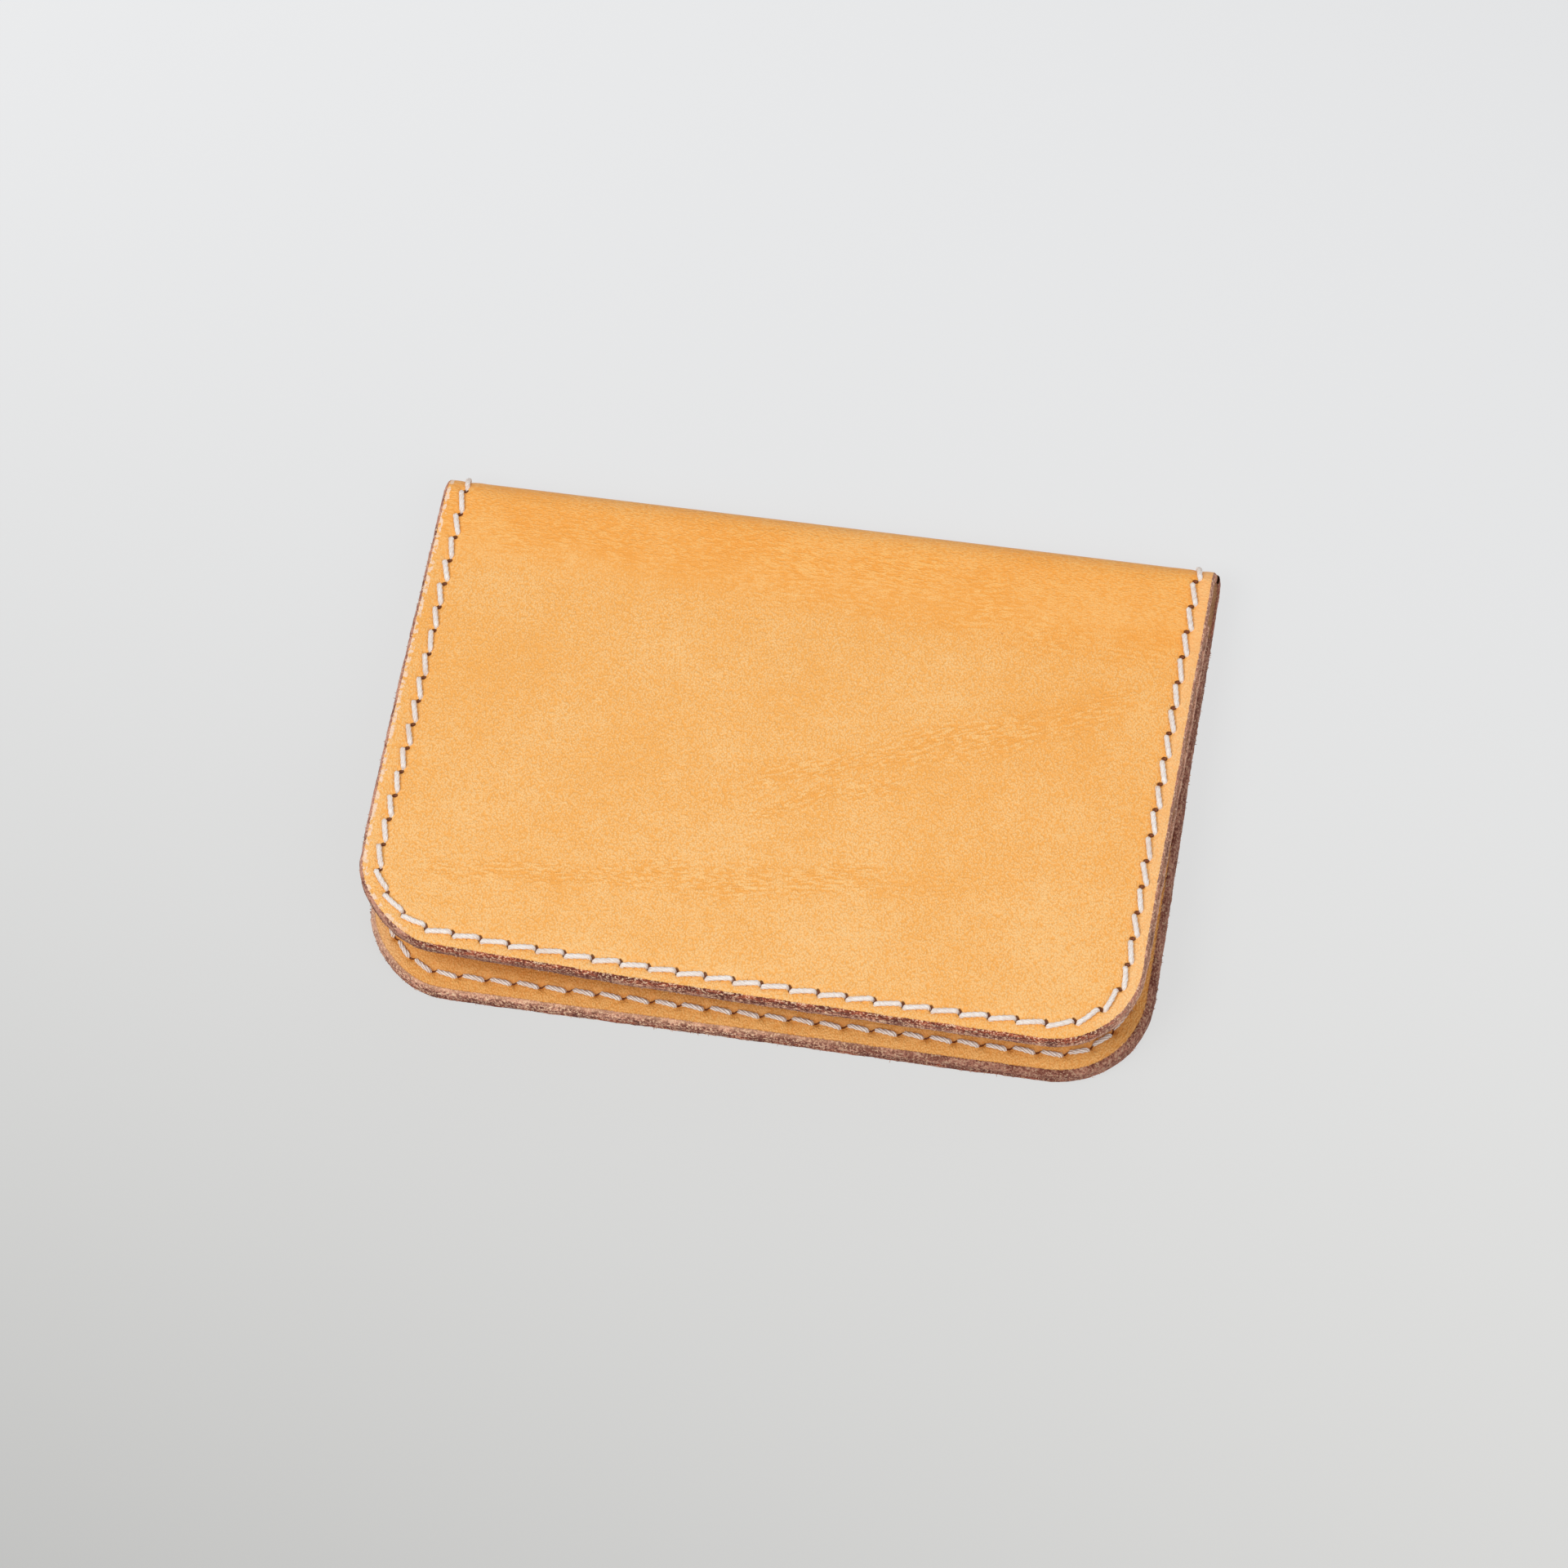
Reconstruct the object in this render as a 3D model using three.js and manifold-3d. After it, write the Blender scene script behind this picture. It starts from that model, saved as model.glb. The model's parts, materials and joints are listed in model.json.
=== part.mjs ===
// Folded leather card holder, in millimetres, +Z up.
//
// One leather cover is folded in half round a spine along X. A pocket panel is saddle-stitched to
// the inside of each half along three edges, and each pocket opens toward the spine. The holder
// lies on its back half with the front half sprung a few degrees open.
//
// The soft fold is two coupled hinge lines with a short spine between them. Each leaf is built
// closed and flat, then the spine and the front leaf are turned to the resting angle.

import * as THREE from 'three';
import { mergeVertices } from 'three/addons/utils/BufferGeometryUtils.js';
import Module from 'manifold-3d';

const wasm = await Module();
wasm.setup();

// ---- Driving dimensions -------------------------------------------------------------------

const width = 105;              // along the fold
const depth = 72;               // from the fold to the free edge, at rest
const cornerRadius = 12;        // free corners of each leaf
const coverThickness = 1.25;
const pocketThickness = 1.1;
const layerGap = 0.15;          // between the cover and its pocket panel
const foldRadius = 3.3;         // outside of the folded spine
const gape = THREE.MathUtils.degToRad(5.4);     // resting angle between the two leaves

const mouthSetback = 8.5;       // from the outside of the fold to a pocket's mouth

const seamInset = 2.4;          // from an edge to the seam line
const backHoleCount = 62;       // awl holes round the three edges of the back leaf
const frontHoleCount = 61;      // the front leaf is stitched with one hole fewer
const holeWidth = 1.5;          // across the seam
const holeLength = 0.8;         // along the seam
const firstHoleRise = 0.6;      // how far the first hole sits past the start of the fold
const threadSize = 0.5;
const threadShift = 0.35;       // each end of the thread keeps to its own side of a hole
const threadClearance = 0.05;   // between the thread and the leather it lies on
const channelDepth = 0.65;      // beds the thread below the outer face

const hingeGap = 0.15;          // half the gap left at a hinge line
const hingeRelief = THREE.MathUtils.degToRad(50);   // lets the outer half of the skin fold back
const cutMargin = 1;            // how far a cutter stands past what it cuts

// ---- Worked-out sizes ---------------------------------------------------------------------

const quarter = Math.PI / 2;
const eighth = Math.PI / 4;
const innerRadius = foldRadius - coverThickness;
const neutralRadius = foldRadius - coverThickness / 2;
const hingeReach = eighth * neutralRadius;          // from the fold's axis to a hinge line, in Y and Z
const hingeRadius = Math.SQRT2 * hingeReach;
const spineSweep = gape / 2;                        // how far each hinge is turned at rest
const leafThickness = coverThickness + layerGap + pocketThickness;

// Turning the spine about the lower hinge carries the fold's axis this much toward +Y.
const axisShift = hingeReach * (Math.sin(spineSweep) + 1 - Math.cos(spineSweep));
const frontEdge = -depth / 2;
const axisY = depth / 2 - foldRadius - axisShift;
const axisZ = foldRadius;
const hingeY = axisY + hingeReach;
const lowerHingeZ = axisZ - hingeReach;
const mouthY = depth / 2 - mouthSetback;
const seamX = width / 2 - seamInset;
const seamY = frontEdge + seamInset;
const seamRadius = cornerRadius - seamInset;
const firstHoleY = axisY + firstHoleRise;

// ---- Materials ----------------------------------------------------------------------------

const coverLeather = new THREE.MeshStandardMaterial({ color: 0xeab172, roughness: 0.55, metalness: 0 });
const pocketLeather = new THREE.MeshStandardMaterial({ color: 0xd49150, roughness: 0.6, metalness: 0 });
const waxedThread = new THREE.MeshStandardMaterial({ color: 0xf0dccb, roughness: 0.7, metalness: 0 });

// ---- Solids -------------------------------------------------------------------------------

function toSolid(geometry) {
  const bare = geometry.clone();
  bare.deleteAttribute('normal');
  bare.deleteAttribute('uv');
  const merged = mergeVertices(bare, 1e-5);
  return new wasm.Manifold(new wasm.Mesh({
    numProp: 3,
    vertProperties: new Float32Array(merged.attributes.position.array),
    triVerts: new Uint32Array(merged.index.array),
  }));
}

function toGeometry(solid) {
  const mesh = solid.getMesh();
  const geometry = new THREE.BufferGeometry();
  geometry.setAttribute('position', new THREE.Float32BufferAttribute(mesh.vertProperties, 3));
  geometry.setIndex(new THREE.BufferAttribute(mesh.triVerts, 1));
  geometry.computeVertexNormals();
  return geometry;
}

// An outline in X and Y, raised from z = low to z = high.
function plate(outline, low, high) {
  const geometry = new THREE.ExtrudeGeometry(outline, {
    depth: high - low,
    bevelEnabled: false,
    curveSegments: 9,
  });
  geometry.translate(0, 0, low);
  return toSolid(geometry);
}

// An outline in Y and Z, carried along X from x = left to x = right.
function bar(outline, left, right) {
  const geometry = new THREE.ExtrudeGeometry(outline, {
    depth: right - left,
    bevelEnabled: false,
    curveSegments: 8,
  });
  geometry.translate(0, 0, left);
  geometry.applyMatrix4(new THREE.Matrix4().makeBasis(
    new THREE.Vector3(0, 1, 0),
    new THREE.Vector3(0, 0, 1),
    new THREE.Vector3(1, 0, 0),
  ));
  return toSolid(geometry);
}

function box(size, centre, turn = 0) {
  const geometry = new THREE.BoxGeometry(size.x, size.y, size.z);
  geometry.rotateZ(turn);
  geometry.translate(centre.x, centre.y, centre.z);
  return toSolid(geometry);
}

function joined(solids) {
  return solids.reduce((whole, solid) => whole.add(solid));
}

// A point of the fold's cross-section. Angle 0 points toward +Y, -90 degrees at the back leaf.
function foldPoint(radius, angle) {
  return new THREE.Vector2(axisY + radius * Math.cos(angle), axisZ + radius * Math.sin(angle));
}

// The slice of the fold between two radii and two angles, from x = left to x = right.
function foldSlice(inner, outer, from, to, left, right) {
  const outline = new THREE.Shape();
  outline.absarc(axisY, axisZ, outer, from, to, false);
  outline.absarc(axisY, axisZ, inner, to, from, true);
  outline.closePath();
  return bar(outline, left, right);
}

// ---- Outlines -----------------------------------------------------------------------------

// Half of the cover or a pocket: square at the spine end, rounded at the two free corners.
function leafOutline(spineEnd) {
  const side = width / 2;
  const outline = new THREE.Shape();
  outline.moveTo(-side, spineEnd);
  outline.lineTo(-side, frontEdge + cornerRadius);
  outline.absarc(-side + cornerRadius, frontEdge + cornerRadius, cornerRadius, Math.PI, 3 * quarter, false);
  outline.absarc(side - cornerRadius, frontEdge + cornerRadius, cornerRadius, -quarter, 0, false);
  outline.lineTo(side, spineEnd);
  outline.closePath();
  return outline;
}

// The seam line, from the spine down the left edge, along the front and back up the right edge.
// place(s) gives the point at distance s, the direction of the seam and the outward direction.
function seamPlace(s) {
  const sideLength = firstHoleY - (seamY + seamRadius);
  const cornerLength = quarter * seamRadius;
  const frontLength = 2 * (seamX - seamRadius);
  const cornerStart = sideLength + cornerLength;
  const rest = s - sideLength;
  if (s <= sideLength) return { x: -seamX, y: firstHoleY - s, turn: -quarter };
  if (rest <= cornerLength) return cornerPlace(-1, Math.PI + rest / seamRadius);
  if (s <= cornerStart + frontLength) return { x: s - cornerStart - frontLength / 2, y: seamY, turn: 0 };
  const past = s - cornerStart - frontLength;
  if (past <= cornerLength) return cornerPlace(1, -quarter + past / seamRadius);
  return { x: seamX, y: seamY + seamRadius + past - cornerLength, turn: quarter };
}

function cornerPlace(side, angle) {
  return {
    x: side * (seamX - seamRadius) + seamRadius * Math.cos(angle),
    y: seamY + seamRadius + seamRadius * Math.sin(angle),
    turn: angle + quarter,
  };
}

const seamLength = 2 * (firstHoleY - seamY - seamRadius) + 2 * quarter * seamRadius
  + 2 * (seamX - seamRadius);

function leafHoles(count) {
  const pitch = seamLength / (count - 1);
  return Array.from({ length: count }, (_, index) => seamPlace(index * pitch));
}

// A hole's centre moved outward across the seam by the given amount.
function besideHole(hole, shift) {
  return { x: hole.x + shift * Math.sin(hole.turn), y: hole.y - shift * Math.cos(hole.turn) };
}

// ---- Leather ------------------------------------------------------------------------------

function awlHoles(holes) {
  return joined(holes.map((hole) => box(
    { x: holeLength, y: holeWidth, z: leafThickness + 2 * cutMargin },
    { x: hole.x, y: hole.y, z: leafThickness / 2 },
    hole.turn,
  )));
}

// The groove that beds the stitches below the outer face of a leaf.
function seamChannel() {
  const band = holeWidth / 2;
  const left = -seamX;
  const start = seamY + seamRadius;
  const ring = new THREE.Shape();
  ring.moveTo(left - band, axisY);
  ring.lineTo(left - band, start);
  ring.absarc(left + seamRadius, start, seamRadius + band, Math.PI, 3 * quarter, false);
  ring.absarc(-left - seamRadius, start, seamRadius + band, -quarter, 0, false);
  ring.lineTo(-left + band, axisY);
  ring.lineTo(-left - band, axisY);
  ring.absarc(-left - seamRadius, start, seamRadius - band, 0, -quarter, true);
  ring.absarc(left + seamRadius, start, seamRadius - band, -quarter, -Math.PI, true);
  ring.lineTo(left + band, axisY);
  ring.closePath();
  const flat = plate(ring, -cutMargin, channelDepth);
  return flat.add(foldChannel(-quarter, -quarter + eighth));
}

// The same groove where it runs round the fold, at both ends of the spine.
function foldChannel(from, to) {
  const floor = foldRadius - channelDepth;
  const band = holeWidth / 2;
  return joined([-seamX, seamX].map((x) => foldSlice(
    floor, foldRadius + cutMargin, from, to, x - band, x + band,
  )));
}

function coverPanel(holes) {
  const endAngle = -eighth;
  const relief = hingeGap + (foldRadius - hingeRadius) * Math.tan(hingeRelief);
  const innerEnd = foldPoint(innerRadius, endAngle - hingeGap / innerRadius);
  const hingeEnd = foldPoint(hingeRadius, endAngle - hingeGap / hingeRadius);
  const section = new THREE.Shape();
  section.moveTo(frontEdge - cutMargin, coverThickness);
  section.lineTo(frontEdge - cutMargin, 0);
  section.lineTo(axisY, 0);
  section.absarc(axisY, axisZ, foldRadius, -quarter, endAngle - relief / foldRadius, false);
  section.lineTo(hingeEnd.x, hingeEnd.y);
  section.lineTo(innerEnd.x, innerEnd.y);
  section.absarc(axisY, axisZ, innerRadius, endAngle - hingeGap / innerRadius, -quarter, true);
  section.closePath();
  const outline = leafOutline(depth / 2 + cutMargin);
  return bar(section, -width / 2, width / 2)
    .intersect(plate(outline, -cutMargin, 2 * foldRadius))
    .subtract(awlHoles(holes))
    .subtract(seamChannel());
}

function pocketPanel(holes) {
  const low = coverThickness + layerGap;
  return plate(leafOutline(mouthY), low, low + pocketThickness).subtract(awlHoles(holes));
}

// The middle quarter of the fold, between the two hinge lines.
function spineStrip() {
  const relief = hingeGap + (foldRadius - hingeRadius) * Math.tan(hingeRelief);
  const outerAngle = eighth - relief / foldRadius;
  const hingeAngle = eighth - hingeGap / hingeRadius;
  const innerAngle = eighth - hingeGap / innerRadius;
  const upper = foldPoint(hingeRadius, hingeAngle);
  const lower = foldPoint(hingeRadius, -hingeAngle);
  const section = new THREE.Shape();
  section.absarc(axisY, axisZ, foldRadius, -outerAngle, outerAngle, false);
  section.lineTo(upper.x, upper.y);
  section.absarc(axisY, axisZ, innerRadius, innerAngle, -innerAngle, true);
  section.lineTo(lower.x, lower.y);
  section.closePath();
  const middleHoles = joined([-seamX, seamX].map((x) => box(
    { x: holeWidth, y: 2 * foldRadius, z: holeLength },
    { x, y: axisY + foldRadius, z: axisZ },
  )));
  return bar(section, -width / 2, width / 2)
    .subtract(foldChannel(-eighth, eighth))
    .subtract(middleHoles);
}

// ---- Thread -------------------------------------------------------------------------------

const half = threadSize / 2;
const outerLevel = channelDepth - threadClearance - half;
const innerCoverLevel = coverThickness + threadClearance + half;
const innerPocketLevel = leafThickness + threadClearance + half;
const outerTrack = foldRadius - outerLevel;
const innerTrack = innerRadius - threadClearance - half;
const firstHoleAngle = -Math.acos((firstHoleY - axisY) / foldRadius);
const threadEndGap = hingeGap + half;       // leaves the cut ends room to turn at a hinge line

// A path through corner points, so that an extrusion has one ring of vertices at each corner.
class CornerPath extends THREE.Curve {
  constructor(corners) {
    super();
    this.corners = corners;
  }

  get segments() {
    return this.corners.length - 1;
  }

  getPoint(t, target = new THREE.Vector3()) {
    const place = THREE.MathUtils.clamp(t, 0, 1) * this.segments;
    const index = Math.min(Math.floor(place + 1e-9), this.segments - 1);
    return target.lerpVectors(this.corners[index], this.corners[index + 1], place - index);
  }

  getUtoTmapping(u) {
    return u;
  }
}

function threadAlong(corners) {
  const section = new THREE.Shape([
    new THREE.Vector2(-half, -half),
    new THREE.Vector2(half, -half),
    new THREE.Vector2(half, half),
    new THREE.Vector2(-half, half),
  ]);
  const path = new CornerPath(corners);
  return toSolid(new THREE.ExtrudeGeometry(section, { steps: path.segments, extrudePath: path }));
}

function innerLevel(y) {
  return y < mouthY ? innerPocketLevel : innerCoverLevel;
}

// Where a stitch crosses a pocket's mouth it steps between the cover and the pocket.
function mouthStep(from, to) {
  const low = innerLevel(from.y);
  const high = innerLevel(to.y);
  if (low === high) return [];
  const y = mouthY + half + 3 * threadClearance;
  const x = THREE.MathUtils.mapLinear(y, from.y, to.y, from.x, to.x);
  return [new THREE.Vector3(x, y, low), new THREE.Vector3(x, y, high)];
}

// The tail of a thread at one side of a leaf, round the fold between a hole and the hinge line.
// An outside tail keeps to one side of the seam and an inside tail to the other.
function foldTail(x, outside) {
  const track = outside ? outerTrack : innerTrack;
  const tailX = x + (outside ? -threadShift : threadShift);
  const angles = [-eighth - threadEndGap / track, (firstHoleAngle - eighth) / 2];
  return angles.map((angle) => {
    const point = foldPoint(track, angle);
    return new THREE.Vector3(tailX, point.x, point.y);
  });
}

// One end of the saddle-stitch thread. It changes side at every hole, going in nearer to the
// leaf's edge and out farther from it, so the two ends never meet.
function leafThread(holes, startsOutside) {
  const endsOutside = startsOutside === (holes.length % 2 === 0);
  const corners = foldTail(-seamX, startsOutside);
  holes.forEach((hole, index) => {
    const goesIn = (index % 2 === 0) === startsOutside;
    const side = goesIn ? threadShift : -threadShift;
    const point = besideHole(hole, side);
    const outer = new THREE.Vector3(point.x, point.y, outerLevel);
    const inner = new THREE.Vector3(point.x, point.y, innerLevel(point.y));
    corners.push(...(goesIn ? [outer, inner] : [inner, outer]));
    const next = holes[index + 1];
    if (goesIn && next) corners.push(...mouthStep(point, besideHole(next, -side)));
  });
  corners.push(...foldTail(seamX, endsOutside).reverse());
  return threadAlong(corners);
}

// The thread that crosses the spine: outside on one side of its middle hole, inside on the other.
function spineThread(x, outsideBelow) {
  const sign = outsideBelow ? 1 : -1;
  const reachOuter = eighth - threadEndGap / outerTrack;
  const reachInner = eighth - threadEndGap / innerTrack;
  const stops = [
    [outerTrack, -reachOuter],
    [outerTrack, -reachOuter / 2],
    [outerTrack, 0],
    [innerTrack, 0],
    [innerTrack, reachInner / 2],
    [innerTrack, reachInner],
  ];
  return threadAlong(stops.map(([track, angle]) => {
    const point = foldPoint(track, sign * angle);
    return new THREE.Vector3(x, point.x, point.y);
  }));
}

// ---- Assembly -----------------------------------------------------------------------------

const holder = new THREE.Group();
const lowerHinge = new THREE.Group();
const spine = new THREE.Group();
const upperHinge = new THREE.Group();
const frontLeaf = new THREE.Group();

function addMesh(parent, name, solid, material) {
  const mesh = new THREE.Mesh(toGeometry(solid), material);
  mesh.name = name;
  parent.add(mesh);
}

function addLeaf(parent, side, holes) {
  addMesh(parent, `cover_${side}_half`, coverPanel(holes), coverLeather);
  addMesh(parent, `pocket_${side}`, pocketPanel(holes), pocketLeather);
  addMesh(parent, `stitching_${side}_a`, leafThread(holes, true), waxedThread);
  addMesh(parent, `stitching_${side}_b`, leafThread(holes, false), waxedThread);
}

addLeaf(holder, 'back', leafHoles(backHoleCount));

// The spine turns about the lower hinge line.
lowerHinge.position.set(0, hingeY, lowerHingeZ);
lowerHinge.rotation.x = -spineSweep;
spine.position.set(0, -hingeY, -lowerHingeZ);
lowerHinge.add(spine);
holder.add(lowerHinge);
addMesh(spine, 'cover_spine', spineStrip(), coverLeather);
for (const [side, sign] of [['left', -1], ['right', 1]]) {
  const x = sign * seamX;
  addMesh(spine, `stitching_spine_${side}_a`, spineThread(x - threadShift, true), waxedThread);
  addMesh(spine, `stitching_spine_${side}_b`, spineThread(x + threadShift, false), waxedThread);
}

// The front leaf turns about the upper hinge line. It is made like the back leaf, then turned
// half a turn about Y so that its outer face is up.
const upperHingeZ = axisZ + hingeReach;
upperHinge.position.set(0, hingeY, upperHingeZ);
upperHinge.rotation.x = -spineSweep;
frontLeaf.position.set(0, -hingeY, 2 * axisZ - upperHingeZ);
frontLeaf.rotation.y = Math.PI;
upperHinge.add(frontLeaf);
spine.add(upperHinge);
addLeaf(frontLeaf, 'front', leafHoles(frontHoleCount));

export default holder;
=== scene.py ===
import json
import math

import bpy
import numpy as np
from mathutils import Matrix, Vector
from mathutils.geometry import delaunay_2d_cdt


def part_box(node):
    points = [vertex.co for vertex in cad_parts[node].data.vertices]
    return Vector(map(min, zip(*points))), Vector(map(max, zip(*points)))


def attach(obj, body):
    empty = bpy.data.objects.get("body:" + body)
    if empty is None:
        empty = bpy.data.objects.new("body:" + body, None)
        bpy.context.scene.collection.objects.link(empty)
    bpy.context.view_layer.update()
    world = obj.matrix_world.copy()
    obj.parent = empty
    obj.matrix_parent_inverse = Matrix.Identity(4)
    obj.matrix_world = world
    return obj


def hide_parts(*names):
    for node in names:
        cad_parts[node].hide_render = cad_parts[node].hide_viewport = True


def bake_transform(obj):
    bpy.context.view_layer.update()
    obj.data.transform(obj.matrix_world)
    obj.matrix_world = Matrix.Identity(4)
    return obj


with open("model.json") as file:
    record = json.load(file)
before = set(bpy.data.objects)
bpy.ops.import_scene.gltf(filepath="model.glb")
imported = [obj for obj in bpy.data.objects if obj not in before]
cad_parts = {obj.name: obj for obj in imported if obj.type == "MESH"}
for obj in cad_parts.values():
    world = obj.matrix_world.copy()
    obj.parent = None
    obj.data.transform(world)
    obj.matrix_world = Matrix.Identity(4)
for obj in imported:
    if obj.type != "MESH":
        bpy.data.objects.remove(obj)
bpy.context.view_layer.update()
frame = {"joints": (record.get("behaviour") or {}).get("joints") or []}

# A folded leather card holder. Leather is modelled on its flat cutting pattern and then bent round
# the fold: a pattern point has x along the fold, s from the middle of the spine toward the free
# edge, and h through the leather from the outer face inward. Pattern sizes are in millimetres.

MM = 0.001

# ---- Sizes that come from the frame ---------------------------------------------------------

joints = {joint["name"]: joint for joint in frame["joints"]}
LOW_HINGE_Y, LOW_HINGE_Z = (value / MM for value in joints["fold_lower"]["pos_m"][1:])
SWEEP = -math.radians(joints["fold_lower"]["range_deg"][0])
back_low, back_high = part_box("cover_back_half")
HALF_WIDTH = back_high.x / MM
FRONT_EDGE = back_low.y / MM
MOUTH_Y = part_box("pocket_back")[1].y / MM
LEAF_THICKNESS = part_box("pocket_back")[1].z / MM

# ---- Sizes of the pattern -------------------------------------------------------------------

COVER = 1.25                    # cover thickness
LAYER_GAP = 0.02                # between the cover and a pocket panel
FOLD_RADIUS = 3.3
CORNER = 12.0
SEAM_INSET = 2.4
FIRST_HOLE = 3.71               # from the middle of the spine
HOLE_COUNT = {"back": 62, "front": 61}     # round three sides of each leaf
NEUTRAL = FOLD_RADIUS - COVER / 2
REACH = math.pi / 4 * NEUTRAL   # from the fold's axis to a hinge line, in y and z
AXIS_Y = LOW_HINGE_Y - REACH
AXIS_Z = FOLD_RADIUS
ARC = math.pi / 2 * NEUTRAL     # pattern length from mid-spine to the flat of a leaf
LENGTH = ARC + AXIS_Y - FRONT_EDGE
MOUTH = ARC + AXIS_Y - MOUTH_Y
CORNER_START = LENGTH - CORNER
FLAT_HALF = HALF_WIDTH - CORNER
SEAM_RADIUS = CORNER - SEAM_INSET
QUARTER_SEAM = math.pi / 2 * SEAM_RADIUS
SEAM_LENGTH = 2 * CORNER_START + 2 * QUARTER_SEAM + 2 * FLAT_HALF

# The front leaf is a little warped: its left side stands more open than its right.
WARP_MIDDLE = math.radians(1.3)
WARP_SIDE = math.radians(1.9)


# ---- Small numeric helpers ------------------------------------------------------------------

def ease(value):
    clipped = np.clip(value, 0.0, 1.0)
    return clipped * clipped * (3 - 2 * clipped)


def hill(value, width):
    return np.exp(-(value / width) ** 2)


def unit(vectors):
    return vectors / np.linalg.norm(vectors, axis=1)[:, None]


def value_noise(a, b, cell, seed):
    """Smooth noise from -1 to 1 over the plane, with bumps about one cell apart."""
    table = np.random.default_rng(seed).uniform(-1, 1, (64, 64))
    a = np.asarray(a, float) / cell
    b = np.asarray(b, float) / cell
    column = np.floor(a).astype(int)
    row = np.floor(b).astype(int)
    across = ease(a - column)
    along = ease(b - row)

    def corner(i, j):
        return table[(column + i) % 64, (row + j) % 64]

    near = corner(0, 0) * (1 - across) + corner(1, 0) * across
    far = corner(0, 1) * (1 - across) + corner(1, 1) * across
    return near * (1 - along) + far * along


# ---- The bend from pattern to place ---------------------------------------------------------

TRIM = {"front": 0.95, "back": 0.55}   # the left corners are cut rounder than the right ones
BACK_WAVE = 0.16                # how far from flat each leaf is
FRONT_WAVE = 0.22


def trimmed(x, s, side, trim):
    """Pattern points drawn in from the corner on one side, where the leather is cut rounder."""
    reach = CORNER / math.sqrt(2)
    away = np.hypot(x - side * (FLAT_HALF + reach), s - CORNER_START - reach)
    pull = trim / math.sqrt(2) * hill(away, 7.5)
    return x - side * pull, s - pull


def open_about(points, pivot_y, pivot_z, angle):
    """Turns points about a line along x, the way the holder opens."""
    y = points[:, 1] - pivot_y
    z = points[:, 2] - pivot_z
    cos, sin = np.cos(angle), np.sin(angle)
    turned = points.copy()
    turned[:, 1] = pivot_y + y * cos + z * sin
    turned[:, 2] = pivot_z - y * sin + z * cos
    return turned


def place(x, s, h, leaf):
    """Pattern points to their place at rest, in millimetres. The back leaf's pattern is turned
    over, so that both leaves are stitched the same way round as seen from outside."""
    x, s, h = (np.asarray(value, float) for value in (x, s, h))
    x, s = trimmed(x, s, -1 if leaf == "front" else 1, TRIM[leaf])
    angle = -np.minimum(s, ARC) / NEUTRAL
    radius = FOLD_RADIUS - h
    y = AXIS_Y + radius * np.cos(angle) - np.maximum(s - ARC, 0)
    z = AXIS_Z + radius * np.sin(angle)
    if leaf == "back":
        z = z + BACK_WAVE * (1 + value_noise(x, s, 31, 5)) * ease((s - ARC) / 25)
        points = np.stack([-x, y, z], 1)
        return open_about(points, LOW_HINGE_Y, LOW_HINGE_Z, SWEEP * (1 - ease(s / ARC)))
    z = z + FRONT_WAVE * value_noise(x, s, 27, 9) * ease((s - ARC) / 20)
    points = np.stack([x, y, 2 * AXIS_Z - z], 1)
    warp = WARP_MIDDLE - WARP_SIDE * x / HALF_WIDTH
    points = open_about(points, LOW_HINGE_Y, AXIS_Z + REACH, (SWEEP + warp) * ease(s / ARC))
    return open_about(points, LOW_HINGE_Y, LOW_HINGE_Z, SWEEP)


# ---- The seam -------------------------------------------------------------------------------

# The holder is cut and marked out by hand. These are how far the cut edge and the line of holes
# stand inward of their true lines, against distance along the seam.
EDGE_DRIFT = {
    "front": ((0, 40, 57, 80, 100, 150, 180, 233),
              (0.10, 0.18, 0.50, 0.60, 0.18, 0.28, 0.50, 0.35)),
    "back": ((0, 25, 55, 90, 110, 150, 162, 172, 190, 233),
             (0.0, 0.0, -0.38, -0.38, -0.14, -0.10, 0.0, 0.40, 0.35, 0.0)),
}
SEAM_DRIFT = {
    "front": ((0, 20, 42, 58, 68, 80, 92, 142, 151, 160, 175, 233),
              (0.50, 0.60, 0.95, 0.62, 0.62, 0.25, -0.15, -0.20, 0.10, 0.42, 0.22, 0.30)),
    "back": ((0, 76, 233), (0.30, 0.38, 0.38)),
}


def drift(u, table):
    """A drift at distances u along the seam, rounded off between its listed values."""
    return sum(np.interp(np.asarray(u) + shift, *table) for shift in (-6, -2, 2, 6)) / 4


def seam_place(x, s):
    """Distance u along the seam line and distance v inward from it, of pattern points."""
    side = np.where(x < 0, -1, 1)
    past_x = np.maximum(np.abs(x) - FLAT_HALF, 0)
    past_s = np.maximum(s - CORNER_START, 0)
    angle = np.arctan2(past_s, past_x)
    in_corner = (past_x > 0) & (past_s > 0)
    at_front = (s > CORNER_START) & ~in_corner
    inset = np.where(in_corner, CORNER - np.hypot(past_x, past_s), HALF_WIDTH - np.abs(x))
    inset = np.where(at_front, LENGTH - s, inset)
    along = np.minimum(s, CORNER_START) + angle * SEAM_RADIUS * in_corner
    along = np.where(at_front, CORNER_START + QUARTER_SEAM + FLAT_HALF - np.abs(x), along)
    u = np.where(side < 0, along, SEAM_LENGTH - along)
    return u, inset - SEAM_INSET


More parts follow.
